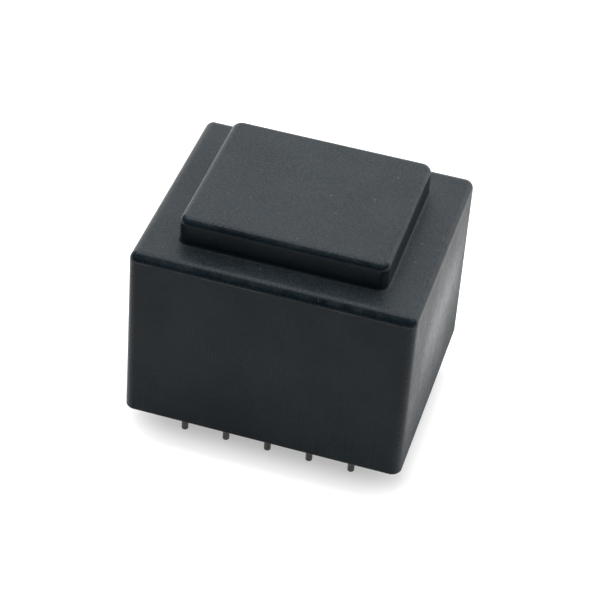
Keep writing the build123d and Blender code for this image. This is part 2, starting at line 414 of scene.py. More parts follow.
# stations from the middle of the inner roof, out round the rim and up to the middle of the block's top
def housingProfile(values):
    low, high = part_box("housing")
    length, width, top = high.x / mm, high.y / mm, high.z / mm
    lean = math.tan(math.radians(values["draft"]))
    blockX, blockY = values["blockLength"] / 2, values["blockWidth"] / 2
    ledge, wall = values["ledgeHeight"], values["wall"]
    # painted highlight: how strongly the fine pale line shows on the first three steps of the body's top rounding
    highlightShare = (0.3, 1.0, 0.4)
    stations = []

    def body(inset, z, edge=0.0, side=0.0, crease=0.0, line=0.0):
        stations.append((length - inset, width - inset, z, max(values["corner"] - inset, 0.04), edge, side, crease, line))

    def block(inset, z, edge=0.0, side=0.0, crease=0.0, line=0.0):
        stations.append((blockX - inset, blockY - inset, z, max(values["blockCorner"] - inset, 0.04), edge, side, crease, line))

    def room(halfX, halfY, z):
        corner = min(values["innerCorner"], halfY)
        stations.append((halfX, halfY, z, corner, 0.0, 0.0, 0.0, 0.0))

    # inside, from the roof's middle to the rim
    roomX, roomY, roomTop = blockX - wall, blockY - wall, top - values["roof"]
    shelf = ledge - values["ledgeThickness"]
    for share in (1.0, 0.5, 0.01):
        room(roomX - roomY * share, roomY * (1 - share), roomTop)
    for z in (roomTop, roomTop - 0.05, shelf + 0.05, shelf):
        room(roomX, roomY, z)
    for share in (0.01, 0.5, 0.99, 1.0):
        room(roomX + share * (length - wall - shelf * lean - roomX), roomY + share * (width - wall - shelf * lean - roomY), shelf)
    for z in (shelf - 0.05, shelf / 2, 3.0, 1.0, 0.1):
        room(length - wall - z * lean, width - wall - z * lean, z)
    room(length - wall + 0.02, width - wall + 0.02, 0.03)
    # rim
    room(length - wall + 0.05, width - wall + 0.05, 0.0)
    body(wall - 0.12, 0.0)
    body(0.5 * wall, 0.0)
    body(values["rimEdge"] + 0.04, 0.0)
    for i in range(5):
        turn = math.radians(90) * i / 4
        body(values["rimEdge"] * (1 - math.sin(turn)), values["rimEdge"] * (1 - math.cos(turn)), edge=math.sin(2 * turn) * 0.7 + 0.3)
    # outer wall
    wallTop = ledge - values["topEdge"]
    wallBase = values["rimEdge"]
    steps = 22
    for i in range(steps + 1):
        share = (i + 0.15) / (steps + 0.3)
        z = wallBase + (wallTop - wallBase) * share
        body(z * lean, z, side=1.0)
    # rounding up to the ledge
    radius, steps = values["topEdge"], values["edgeSteps"]
    start = wallTop * lean
    for i in range(steps + 1):
        turn = math.radians(90) * i / steps
        body(start + radius * (1 - math.cos(turn)), wallTop + radius * math.sin(turn), edge=math.sin(2 * turn), side=1 - i / steps, line=highlightShare[i] if i < 3 else 0.0)
    # ledge
    footX, footY = blockX + values["footFillet"], blockY + values["footFillet"]
    edgeX, edgeY = length - start - radius, width - start - radius
    footCorner = values["blockCorner"] + values["footFillet"]
    for share in (0.03, 0.2, 0.4, 0.6, 0.8, 0.97):
        corner = 0.1 + (footCorner - 0.1) * share
        stations.append((edgeX + (footX - edgeX) * share, edgeY + (footY - edgeY) * share, ledge, corner, 0.0, 0.0, max(0.0, share * 2 - 1) * 0.6, 0.0))
    # foot fillet and block
    radius = values["footFillet"]
    for i in range(6):
        turn = math.radians(90) * i / 5
        block(-radius * (1 - math.sin(turn)), ledge + radius * (1 - math.cos(turn)), crease=1.0)
    blockWall = top - values["blockEdge"]
    for share in (0.05, 0.3, 0.6, 0.95):
        block(0.0, ledge + radius + (blockWall - ledge - radius) * share, side=1.0, crease=0.9 * (1 - share))
    radius = values["blockEdge"]
    for i in range(steps + 1):
        turn = math.radians(90) * i / steps
        block(radius * (1 - math.cos(turn)), blockWall + radius * math.sin(turn), edge=math.sin(2 * turn), side=1 - i / steps, line=0.0)
    innerX, innerY = blockX - radius, blockY - radius
    corner = values["blockCorner"] - radius
    for i in range(1, 25):
        share = 0.015 if i == 1 else (i - 1) / 23
        stations.append((innerX - innerY * share, innerY * (1 - share), top, corner * (1 - share), 0.0, 0.0, 0.0, 0.0))
    return stations


# carries stations (half length, half width, height, corner) round a rounded rectangle
def makeSquareLathe():
    tree, given, out = newTree("squareLathe", "GeometryNodeTree", [
        ("Geometry", "Geometry", None),
        ("Corner Steps", "Int", 12),
        ("Side Steps", "Int", 24),
        ("Half Length", "Float", 0.016),
        ("Half Width", "Float", 0.014),
        ("Wall Height", "Float", 0.022),
        ("Sink Depth", "Float", 0.0),
        ("Waviness", "Float", 0.0),
        ("Seed", "Float", 3.0),
        ("Material", "Material", None),
    ], [("Geometry", "Geometry")])
    count = addNode(tree, "GeometryNodeAttributeDomainSize", {0: given["Geometry"]}).outputs["Point Count"]
    perQuarter = calc(tree, "ADD", given["Corner Steps"], given["Side Steps"])
    around = calc(tree, "ADD", calc(tree, "MULTIPLY", perQuarter, 4.0), 1.0)
    grid = addNode(tree, "GeometryNodeMeshGrid", {"Size X": 1.0, "Size Y": 1.0, "Vertices X": around, "Vertices Y": count})
    index = addNode(tree, "GeometryNodeInputIndex").outputs[0]
    ring = calc(tree, "FLOOR", calc(tree, "DIVIDE", index, count))
    station = calc(tree, "SUBTRACT", index, calc(tree, "MULTIPLY", ring, count))

    def sampled(kind, value):
        node = addNode(tree, "GeometryNodeSampleIndex", data_type=kind, domain="POINT")
        feed(tree, given["Geometry"], pickSocket(node.inputs, "Geometry"))
        feed(tree, value, pickSocket(node.inputs, "Value"))
        feed(tree, station, pickSocket(node.inputs, "Index"))
        return pickSocket(node.outputs, "Value")

    def named(name):
        return pickSocket(addNode(tree, "GeometryNodeInputNamedAttribute", {"Name": name}, data_type="FLOAT").outputs, "Attribute")

    halves = addNode(tree, "ShaderNodeSeparateXYZ", {0: sampled("FLOAT_VECTOR", addNode(tree, "GeometryNodeInputPosition").outputs[0])}).outputs
    corner = sampled("FLOAT", named("corner"))
    edge = sampled("FLOAT", named("edge"))
    side = sampled("FLOAT", named("side"))
    crease = sampled("FLOAT", named("crease"))
    line = sampled("FLOAT", named("line"))

    # which quarter of the ring, and how far round its corner or along its side
    quarter = calc(tree, "FLOOR", calc(tree, "DIVIDE", ring, perQuarter))
    local = calc(tree, "SUBTRACT", ring, calc(tree, "MULTIPLY", quarter, perQuarter))
    turn = calc(tree, "MINIMUM", calc(tree, "DIVIDE", local, given["Corner Steps"]), 1.0)
    past = calc(tree, "MAXIMUM", calc(tree, "SUBTRACT", local, given["Corner Steps"]), 0.0)
    slide = calc(tree, "DIVIDE", past, given["Side Steps"])
    eased = calc(tree, "ADD", slide, calc(tree, "MULTIPLY", calc(tree, "SINE", calc(tree, "MULTIPLY", slide, 2 * math.pi)), -0.11))
    angle = calc(tree, "MULTIPLY", calc(tree, "ADD", quarter, turn), math.pi / 2)
    centre = []
    for half, wave in ((halves[0], "COSINE"), (halves[1], "SINE")):
        signs = []
        for step in (0.5, 1.5):
            swing = calc(tree, wave, calc(tree, "MULTIPLY", calc(tree, "ADD", quarter, step), math.pi / 2))
            signs.append(calc(tree, "MULTIPLY", swing, math.sqrt(2)))
        sign = calc(tree, "ADD", signs[0], calc(tree, "MULTIPLY", calc(tree, "SUBTRACT", signs[1], signs[0]), eased))
        arm = calc(tree, "MULTIPLY", sign, calc(tree, "SUBTRACT", half, corner))
        centre.append(calc(tree, "ADD", arm, calc(tree, "MULTIPLY", corner, calc(tree, wave, angle))))
    place = addNode(tree, "ShaderNodeCombineXYZ", {0: centre[0], 1: centre[1], 2: halves[2]}).outputs[0]
    upright = calc(tree, "MULTIPLY", calc(tree, "SINE", calc(tree, "MULTIPLY", turn, math.pi)), side)
    stepsRound = calc(tree, "MULTIPLY", turn, given["Corner Steps"])
    fromEnd = calc(tree, "MINIMUM", stepsRound, calc(tree, "SUBTRACT", given["Corner Steps"], stepsRound))
    # painted highlight: a fine pale line near both ends of each upright corner's rounding
    uprightHighlight = calc(tree, "SUBTRACT", 1.2, calc(tree, "ABSOLUTE", calc(tree, "SUBTRACT", fromEnd, 0.6)), clamp=True)
    uprightHighlight = calc(tree, "MULTIPLY", uprightHighlight, calc(tree, "MULTIPLY", calc(tree, "GREATER_THAN", side, 0.99), 0.75))

    geometry = grid.outputs["Mesh"]
    for name, value in (("edge", calc(tree, "MAXIMUM", edge, upright)), ("crease", crease), ("line", calc(tree, "MAXIMUM", line, uprightHighlight))):
        store = addNode(tree, "GeometryNodeStoreNamedAttribute", {"Geometry": geometry, "Name": name}, data_type="FLOAT", domain="POINT")
        feed(tree, value, pickSocket(store.inputs, "Value"))
        geometry = store.outputs[0]
    shaped = addNode(tree, "GeometryNodeSetPosition", {"Geometry": geometry, "Position": place})
    merged = addNode(tree, "GeometryNodeMergeByDistance", {"Geometry": shaped.outputs[0], "Distance": 0.001 * mm})

    # walls sink a little in the middle, and no face is dead flat
    normal = addNode(tree, "GeometryNodeInputNormal").outputs[0]
    facing = addNode(tree, "ShaderNodeSeparateXYZ", {0: normal}).outputs
    position = addNode(tree, "GeometryNodeInputPosition").outputs[0]
    at = addNode(tree, "ShaderNodeSeparateXYZ", {0: position}).outputs
    bowX = calc(tree, "COSINE", calc(tree, "MULTIPLY", calc(tree, "DIVIDE", at[0], given["Half Length"]), math.pi / 2))
    bowY = calc(tree, "COSINE", calc(tree, "MULTIPLY", calc(tree, "DIVIDE", at[1], given["Half Width"]), math.pi / 2))
    bowZ = calc(tree, "MAXIMUM", calc(tree, "SINE", calc(tree, "MULTIPLY", calc(tree, "DIVIDE", at[2], given["Wall Height"]), math.pi)), 0.0)
    sinkX = calc(tree, "MULTIPLY", calc(tree, "MULTIPLY", calc(tree, "ABSOLUTE", facing[0]), bowY), bowZ)
    sinkY = calc(tree, "MULTIPLY", calc(tree, "MULTIPLY", calc(tree, "ABSOLUTE", facing[1]), bowX), bowZ)
    sinkZ = calc(tree, "MULTIPLY", calc(tree, "MAXIMUM", facing[2], 0.0), calc(tree, "MULTIPLY", bowX, bowY))
    sink = calc(tree, "ADD", sinkZ, calc(tree, "ADD", sinkX, sinkY))
    wave = addNode(tree, "ShaderNodeTexNoise", {"Vector": position, "W": given["Seed"], "Scale": 160.0, "Detail": 1.0}, noise_dimensions="4D")
    ripple = calc(tree, "MULTIPLY", calc(tree, "SUBTRACT", wave.outputs[0], 0.5), given["Waviness"])
    clear = between(tree, at[2], 0.2 * mm, 2.0 * mm)  # the rim stays flat
    offset = calc(tree, "SUBTRACT", calc(tree, "MULTIPLY", ripple, clear), calc(tree, "MULTIPLY", sink, given["Sink Depth"]))
    scaled = addNode(tree, "ShaderNodeVectorMath", {0: normal}, operation="SCALE")
    feed(tree, offset, pickSocket(scaled.inputs, "Scale"))
    softened = addNode(tree, "GeometryNodeSetPosition", {"Geometry": merged.outputs[0], "Offset": scaled.outputs[0]})
    smooth = addNode(tree, "GeometryNodeSetShadeSmooth", {"Geometry": softened.outputs[0]})
    real = addNode(tree, "GeometryNodeRealizeInstances", {"Geometry": smooth.outputs[0]})
    painted = addNode(tree, "GeometryNodeSetMaterial", {"Geometry": real.outputs[0], "Material": given["Material"]})
    tree.links.new(painted.outputs[0], out["Geometry"])
    return tree


# makes an object from a tree and returns it as a plain mesh
def runTree(name, startMesh, tree, values):
    source = bpy.data.objects.new(name + "Source", startMesh)
    bpy.context.scene.collection.objects.link(source)
    modifier = source.modifiers.new("form", "NODES")
    modifier.node_group = tree
    for item in tree.interface.items_tree:
        if item.item_type == "SOCKET" and item.in_out == "INPUT" and item.name in values:
            modifier[item.identifier] = values[item.name]
    evaluated = source.evaluated_get(bpy.context.evaluated_depsgraph_get())
    mesh = bpy.data.meshes.new_from_object(evaluated)
    mesh.name = name
    source.modifiers.clear()
    bpy.data.objects.remove(source)
    piece = bpy.data.objects.new(name, mesh)
    bpy.context.scene.collection.objects.link(piece)
    print(name, "made:", len(mesh.polygons), "faces")
    return piece


plasticValues = {
    "color": (0.0028, 0.0102, 0.0166, 1),
    "paleColor": (0.0078, 0.0172, 0.0250, 1),
    "mottleAndTopLightColor": (0.041, 0.045, 0.047, 1),
    "mottleRange": (0.495, 0.575),  # the heights of the grain that turn pale
    "mottleAndTopLightShare": (0.20, 0.80),  # on the walls and on what faces up; the larger share on top is painted light that lightens the tops
    "upwardLift": 0.001,  # painted light: a faint pale tint on what faces up, lightening the tops
    "rubbedColor": (0.045, 0.052, 0.056, 1),
    "highlightLineColor": (0.12, 0.13, 0.13, 1),  # painted highlight: the fine pale line where a rounding meets a wall, and at the upright corners
    "dustColor": (0.30, 0.31, 0.31, 1),
    "specular": 0.19,
    "roughness": (0.38, 0.48),
    "wallShine": 0.17,  # how much smoother the middle of each wall is rubbed
    "footDull": 0.14,
    "creaseLiftAndDust": 0.05,  # painted light lifting the shade in the angle round the block's foot, where fine dust also lies
    "edgeShine": 0.22,  # the roundings are handled smooth
    "streakSize": 0.7,
    "streakShare": 0.40,  # how much the streaks on the end walls change their shine
    "blotchSize": 0.42,
    "blotchDepth": 0.22,
    "grainDepth": 0.016,
}


def makeHousingPlastic(values):
    material, tree, shader, place = startMaterial("housingPlastic", Specular_IOR_Level=values["specular"])
    low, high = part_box("housing")
    grain = useGroup(tree, mouldGrain, Vector=place, Grain_Size=0.09, Cloud_Size=7.0)
    normal = addNode(tree, "ShaderNodeNewGeometry").outputs["Normal"]
    facing = addNode(tree, "ShaderNodeSeparateXYZ", {0: normal}).outputs
    at = addNode(tree, "ShaderNodeSeparateXYZ", {0: place}).outputs
    upward = between(tree, facing[2], 0.5, 0.95)
    sideways = between(tree, calc(tree, "ABSOLUTE", facing[2]), 0.5, 0.2)

    # how near the middle of its wall a point lies, from 0 at the corners to 1
    middles = []
    for along, across, half, shift in ((0, 1, high.x / mm, 0.0), (1, 0, high.y / mm, 0.15)):
        share = calc(tree, "SUBTRACT", calc(tree, "DIVIDE", at[along], half), shift)
        hump = calc(tree, "SUBTRACT", 1.0, calc(tree, "MULTIPLY", share, share))
        middles.append(calc(tree, "MULTIPLY", hump, calc(tree, "ABSOLUTE", facing[across])))
    middle = calc(tree, "ADD", *middles)
    raised = between(tree, at[2], 5.0, 14.0)
    raised = calc(tree, "MULTIPLY", raised, between(tree, at[2], 21.0, 11.0))
    middle = calc(tree, "MULTIPLY", calc(tree, "MULTIPLY", between(tree, middle, 0.3, 0.95), raised), sideways)

    marks = useGroup(tree, drawMarks, Vector=place, Stretch=(1.0, 1.0, 0.035), Line_Size=0.24, Patch_Size=5.5)
    scuffed = calc(tree, "MULTIPLY", calc(tree, "MULTIPLY", marks["Lines"], marks["Patches"]), sideways)
    endWall = calc(tree, "MULTIPLY", calc(tree, "ABSOLUTE", facing[0]), sideways)
    streaks = useGroup(tree, drawMarks, Vector=place, Stretch=(1.0, 1.0, 0.05), Line_Size=values["streakSize"], Patch_Size=9.0)["Lines"]
    streaks = calc(tree, "MULTIPLY", calc(tree, "SUBTRACT", streaks, 0.5), calc(tree, "MULTIPLY", endWall, values["streakShare"]))
    blotches = useGroup(tree, mouldGrain, Vector=place, Grain_Size=values["blotchSize"], Cloud_Size=7.0)["Height"]
    blotches = calc(tree, "MULTIPLY", calc(tree, "SUBTRACT", blotches, 0.5), endWall)
    rubbedWall = calc(tree, "ADD", calc(tree, "MULTIPLY", marks["Lines"], 0.14), calc(tree, "ADD", streaks, 0.86))
    rubbedWall = calc(tree, "MULTIPLY", middle, rubbedWall)
    edge = attributeValue(tree, "edge")
    crease = attributeValue(tree, "crease")
    line = attributeValue(tree, "line")
    rubbed = useGroup(tree, edgeStretches, Vector=place, Edge=edge, Patch_Size=1.3, Amount=0.35)["Mask"]
    paintedHighlightLine = useGroup(tree, edgeStretches, Vector=place, Edge=line, Patch_Size=3.0, Amount=0.5)["Mask"]
    dust = useGroup(tree, specks, Vector=place, Spacing=1.2, Spot_Size=0.09, Share=0.5)["Mask"]
    fineDust = useGroup(tree, specks, Vector=place, Spacing=0.5, Spot_Size=0.065, Share=0.5)["Mask"]
    dusty = calc(tree, "MAXIMUM", dust, calc(tree, "MULTIPLY", fineDust, 0.45))
    dusty = calc(tree, "MULTIPLY", dusty, between(tree, upward, 0.0, 1.0, 0.10, 1.0))

    # pale grain mottle, four times as strong on what faces up: real grain, and painted light lightening the tops
    mottleAndTopLight = between(tree, grain["Height"], *values["mottleRange"])
    mottleAndTopLight = calc(tree, "MULTIPLY", mottleAndTopLight, between(tree, facing[2], 0.8, 0.99, *values["mottleAndTopLightShare"]))
    color = mixColor(tree, grain["Shade"], values["color"], values["paleColor"])
    color = mixColor(tree, mottleAndTopLight, color, values["mottleAndTopLightColor"])
    color = mixColor(tree, calc(tree, "MULTIPLY", scuffed, 0.05), color, values["rubbedColor"])
    color = mixColor(tree, calc(tree, "MULTIPLY", rubbed, 0.45), color, values["rubbedColor"])
    # painted highlight: a fine pale line where the roundings meet the walls and along the upright corners
    color = mixColor(tree, calc(tree, "MULTIPLY", paintedHighlightLine, 0.45), color, values["highlightLineColor"])
    color = mixColor(tree, calc(tree, "MULTIPLY", dusty, 0.5), color, values["dustColor"])
    # painted light: lifts the shade in the angle round the block's foot, where fine dust also lies, and faintly
    # lightens what faces up, toward the pale dust colour
    dustAndLift = calc(tree, "ADD", calc(tree, "MULTIPLY", crease, values["creaseLiftAndDust"]), calc(tree, "MULTIPLY", upward, values["upwardLift"]))
    color = mixColor(tree, dustAndLift, color, values["dustColor"])
    tree.links.new(color, shader.inputs["Base Color"])

    rough = between(tree, grain["Height"], 0.35, 0.65, *values["roughness"])
    lowWall = calc(tree, "MULTIPLY", between(tree, at[2], 9.0, 0.0), sideways)
    for mask, change in (
        (scuffed, -0.07), (rubbedWall, -values["wallShine"]), (lowWall, values["footDull"]),
        (edge, -values["edgeShine"]), (crease, 0.08), (rubbed, -0.10), (paintedHighlightLine, -0.14), (dusty, 0.3),
        (blotches, values["blotchDepth"]),
    ):
        rough = calc(tree, "ADD", rough, calc(tree, "MULTIPLY", mask, change))
    tree.links.new(between(tree, rough, 0.15, 0.8, 0.15, 0.8, smooth=False), shader.inputs["Roughness"])
    height = calc(tree, "ADD", grain["Height"], calc(tree, "MULTIPLY", scuffed, 0.4))
    bumpOnto(tree, shader, height, values["grainDepth"])
    return material


def stationMesh(stations):
    mesh = bpy.data.meshes.new("stations")
    mesh.from_pydata([(x * mm, y * mm, z * mm) for x, y, z, *rest in stations], [(i, i + 1) for i in range(len(stations) - 1)], [])
    for column, name, scale in ((3, "corner", mm), (4, "edge", 1.0), (5, "side", 1.0), (6, "crease", 1.0), (7, "line", 1.0)):
        attribute = mesh.attributes.new(name, "FLOAT", "POINT")
        attribute.data.foreach_set("value", [s[column] * scale for s in stations])
    return mesh


def makeHousing(values):
    low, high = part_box("housing")
    housing = runTree("housingCup", stationMesh(housingProfile(values)), makeSquareLathe(), {
        "Corner Steps": values["cornerSteps"],
        "Side Steps": values["sideSteps"],
        "Half Length": high.x,
        "Half Width": high.y,
        "Wall Height": values["ledgeHeight"] * mm,
        "Sink Depth": values["sinkDepth"] * mm,
        "Waviness": values["waviness"] * mm,
        "Seed": 4.0,
        "Material": makeHousingPlastic(plasticValues),
    })
    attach(housing, "root")
    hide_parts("housing")
    return housing


makeHousing(housingValues)

# pins: one profile turned round, set out on the board's grid
pinValues = {
    "pitch": 5.0,
    "rowSpacing": 20.0,
    "perRow": 5,
    "legRadius": 0.4,
    "tipCut": 0.15,
    "rootRadius": 0.44,
    "rootStart": 0.5,
    "flutes": 6,
    "fluteDepth": 0.03,
    "around": 36,
    "drawnDepth": 0.004,
    "wireColor": (0.070, 0.070, 0.069, 1),
    "paleColor": (0.21, 0.205, 0.195, 1),
    "cutColor": (0.42, 0.26, 0.17, 1),
    "stainColor": (0.030, 0.027, 0.024, 1),
    "roughness": (0.22, 0.34),
}


# stations from the cut tip up to the root's end: radius, height, flute depth and cut edge
def pinProfile(values):
    low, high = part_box("pin_1")
    foot, top = low.z / mm, high.z / mm
    leg, cut, root = values["legRadius"], values["tipCut"], values["rootRadius"]
    flat = leg - cut
    stations = [(0.0, foot, 0.0, 1.0), (flat * 0.5, foot + 0.004, 0.0, 1.0), (flat - 0.02, foot + 0.006, 0.0, 1.0)]
    for share in (0.0, 0.12, 0.5, 0.88, 1.0):
        stations.append((flat + cut * share, foot + 0.012 + (cut - 0.012) * share, 0.0, 1.0 - 0.5 * share))
    legTop = values["rootStart"]
    for i in range(1, 15):
        share = (i - 0.85) / 14
        stations.append((leg, foot + cut + (legTop - foot - cut) * share, 0.0, max(0.0, 0.35 - share * 2)))
    for radius, z in ((leg, legTop - 0.01), (root - 0.01, legTop), (root, legTop + 0.02)):
        stations.append((radius, z, 1.0 if radius > leg else 0.0, 0.0))
    for i in range(1, 6):
        stations.append((root, legTop + (top - legTop) * i / 6, 1.0, 0.0))
    for radius, z in ((root, top - 0.03), (root - 0.02, top - 0.005), (root * 0.5, top), (0.0, top)):
        stations.append((radius, z, 1.0 if radius > leg else 0.0, 0.0))
    return stations


# a turned and fluted wire, repeated along two rows
def makePinRows():
    tree, given, out = newTree("pinRows", "GeometryNodeTree", [
        ("Geometry", "Geometry", None),
        ("Around", "Int", 36),
        ("Flutes", "Float", 6.0),
        ("Flute Depth", "Float", 0.0),
        ("Drawn Depth", "Float", 0.0),
        ("Pitch", "Float", 0.005),
        ("Per Row", "Int", 5),
        ("Row Spacing", "Float", 0.02),
        ("Seed", "Int", 7),
        ("Material", "Material", None),
    ], [("Geometry", "Geometry")])
    count = addNode(tree, "GeometryNodeAttributeDomainSize", {0: given["Geometry"]}).outputs["Point Count"]
    around = calc(tree, "ADD", given["Around"], 1.0)
    grid = addNode(tree, "GeometryNodeMeshGrid", {"Size X": 1.0, "Size Y": 1.0, "Vertices X": around, "Vertices Y": count})
    index = addNode(tree, "GeometryNodeInputIndex").outputs[0]
    ring = calc(tree, "FLOOR", calc(tree, "DIVIDE", index, count))
    station = calc(tree, "SUBTRACT", index, calc(tree, "MULTIPLY", ring, count))
    profile = addNode(tree, "GeometryNodeSampleIndex", data_type="FLOAT_VECTOR", domain="POINT")
    feed(tree, given["Geometry"], pickSocket(profile.inputs, "Geometry"))
    feed(tree, addNode(tree, "GeometryNodeInputPosition").outputs[0], pickSocket(profile.inputs, "Value"))
    feed(tree, station, pickSocket(profile.inputs, "Index"))
    cutShare = addNode(tree, "GeometryNodeSampleIndex", data_type="FLOAT", domain="POINT")
    feed(tree, given["Geometry"], pickSocket(cutShare.inputs, "Geometry"))
    named = addNode(tree, "GeometryNodeInputNamedAttribute", {"Name": "cut"}, data_type="FLOAT")
    feed(tree, pickSocket(named.outputs, "Attribute"), pickSocket(cutShare.inputs, "Value"))
    feed(tree, station, pickSocket(cutShare.inputs, "Index"))

    radius, flute, height = addNode(tree, "ShaderNodeSeparateXYZ", {0: pickSocket(profile.outputs, "Value")}).outputs[:3]
    turn = calc(tree, "MULTIPLY", calc(tree, "DIVIDE", ring, given["Around"]), 2 * math.pi)
    groove = calc(tree, "MULTIPLY", calc(tree, "SUBTRACT", 1.0, calc(tree, "COSINE", calc(tree, "MULTIPLY", turn, given["Flutes"]))), 0.5)
    groove = calc(tree, "MULTIPLY", calc(tree, "MULTIPLY", groove, given["Flute Depth"]), calc(tree, "MULTIPLY", flute, 1 / mm))
    grooved = calc(tree, "SUBTRACT", radius, groove)
    place = addNode(tree, "ShaderNodeCombineXYZ", {
        0: calc(tree, "MULTIPLY", grooved, calc(tree, "COSINE", turn)),
        1: calc(tree, "MULTIPLY", grooved, calc(tree, "SINE", turn)),
        2: height,
    }).outputs[0]
    store = addNode(tree, "GeometryNodeStoreNamedAttribute", {"Geometry": grid.outputs["Mesh"], "Name": "edge"}, data_type="FLOAT", domain="POINT")
    feed(tree, pickSocket(cutShare.outputs, "Value"), pickSocket(store.inputs, "Value"))
    shaped = addNode(tree, "GeometryNodeSetPosition", {"Geometry": store.outputs[0], "Position": place})
    merged = addNode(tree, "GeometryNodeMergeByDistance", {"Geometry": shaped.outputs[0], "Distance": 0.002 * mm})

    length = calc(tree, "MULTIPLY", calc(tree, "SUBTRACT", given["Per Row"], 1.0), given["Pitch"])
    places = addNode(tree, "GeometryNodeMeshGrid", {"Size X": length, "Size Y": given["Row Spacing"], "Vertices X": given["Per Row"], "Vertices Y": 2})
    spin = addNode(tree, "FunctionNodeRandomValue", data_type="FLOAT")
    for key, value in (("Min", 0.0), ("Max", 2 * math.pi), ("Seed", given["Seed"])):
        feed(tree, value, pickSocket(spin.inputs, key))
    sixth = calc(tree, "SNAP", pickSocket(spin.outputs, "Value"), math.pi / 3)  # the flutes stay lined up with the bobbin's holes
    turned = addNode(tree, "ShaderNodeCombineXYZ", {2: sixth}).outputs[0]
    pins = addNode(tree, "GeometryNodeInstanceOnPoints", {"Points": places.outputs["Mesh"], "Instance": merged.outputs[0], "Rotation": turned})
    real = addNode(tree, "GeometryNodeRealizeInstances", {"Geometry": pins.outputs[0]})

    # shallow marks of the drawing die along the leg, the same size whatever the pin
    position = addNode(tree, "GeometryNodeInputPosition").outputs[0]
    along = vectorCalc(tree, "MULTIPLY", position, (1.0, 1.0, 0.06))
    marks = addNode(tree, "ShaderNodeTexNoise", {"Vector": along, "Scale": 4200.0, "Detail": 1.0})
    ripple = calc(tree, "MULTIPLY", calc(tree, "SUBTRACT", marks.outputs[0], 0.5), given["Drawn Depth"])
    inward = addNode(tree, "ShaderNodeVectorMath", {0: addNode(tree, "GeometryNodeInputNormal").outputs[0]}, operation="SCALE")
    feed(tree, ripple, pickSocket(inward.inputs, "Scale"))
    drawn = addNode(tree, "GeometryNodeSetPosition", {"Geometry": real.outputs[0], "Offset": inward.outputs[0]})
    smooth = addNode(tree, "GeometryNodeSetShadeSmooth", {"Geometry": drawn.outputs[0]})
    painted = addNode(tree, "GeometryNodeSetMaterial", {"Geometry": smooth.outputs[0], "Material": given["Material"]})
    tree.links.new(painted.outputs[0], out["Geometry"])
    return tree


def makePinMetal(values):
    material, tree, shader, place = startMaterial("pinMetal")
    shader.inputs["Metallic"].default_value = 1.0
    grain = useGroup(tree, mouldGrain, Vector=place, Grain_Size=0.06, Cloud_Size=0.9)
    marks = useGroup(tree, drawMarks, Vector=place, Stretch=(1.0, 1.0, 0.05), Line_Size=0.05, Patch_Size=1.2)
    edge = attributeValue(tree, "edge")
    cut = between(tree, edge, 0.8, 1.0)
    worn = useGroup(tree, edgeStretches, Vector=place, Edge=edge, Patch_Size=0.4, Amount=0.5)["Mask"]
    stains = useGroup(tree, specks, Vector=place, Spacing=0.35, Spot_Size=0.10, Share=0.35)["Mask"]
    color = mixColor(tree, calc(tree, "MULTIPLY", grain["Shade"], 0.35), values["wireColor"], values["paleColor"])
    color = mixColor(tree, calc(tree, "MULTIPLY", marks["Lines"], 0.35), color, values["paleColor"])
    color = mixColor(tree, calc(tree, "MULTIPLY", worn, 0.4), color, values["paleColor"])
    color = mixColor(tree, calc(tree, "MULTIPLY", cut, 0.55), color, values["cutColor"])
    color = mixColor(tree, calc(tree, "MULTIPLY", stains, 0.7), color, values["stainColor"])
    tree.links.new(color, shader.inputs["Base Color"])
    rough = between(tree, grain["Height"], 0.35, 0.65, *values["roughness"])
    rough = calc(tree, "SUBTRACT", rough, calc(tree, "MULTIPLY", worn, 0.12))
    tree.links.new(calc(tree, "ADD", rough, calc(tree, "MULTIPLY", stains, 0.2), clamp=True), shader.inputs["Roughness"])
    bumpOnto(tree, shader, calc(tree, "ADD", grain["Height"], marks["Lines"]), 0.006)
    return material


def makePins(values):
    stations = pinProfile(values)
    startMesh = bpy.data.meshes.new("pinStations")
    startMesh.from_pydata([(r * mm, flute * mm, z * mm) for r, z, flute, cut in stations], [(i, i + 1) for i in range(len(stations) - 1)], [])
    startMesh.attributes.new("cut", "FLOAT", "POINT").data.foreach_set("value", [cut for r, z, flute, cut in stations])
    pins = runTree("pins", startMesh, makePinRows(), {
        "Around": values["around"],
        "Flutes": float(values["flutes"]),
        "Flute Depth": values["fluteDepth"] * mm,
        "Drawn Depth": values["drawnDepth"] * mm,
        "Pitch": values["pitch"] * mm,
        "Per Row": values["perRow"],
        "Row Spacing": values["rowSpacing"] * mm,
        "Seed": 7,
        "Material": makePinMetal(values),
    })
    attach(pins, "root")
    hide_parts(*[f"pin_{number}" for number in range(1, 2 * values["perRow"] + 1)])


makePins(pinValues)

# resin: the cast face seen from below, drawn up at the walls and round the pins
resinValues = {
    "level": 0.42,
    "back": 0.60,  # the skin reaches this far up into the solid resin
    "wallRise": 0.28,
    "wallReach": 0.28,
    "pinRise": 0.24,
    "pinReach": 0.16,
    "pinClimb": 0.9,  # how far from a pin's side its collar of resin ends
    "steps": (128, 108),
    "waviness": 0.06,
    "dimple": 0.04,
    "color": (0.0085, 0.0088, 0.0098, 1),
    "cloudColor": (0.016, 0.017, 0.018, 1),
    "dustColor": (0.16, 0.155, 0.145, 1),
    "roughness": (0.10, 0.26),
}


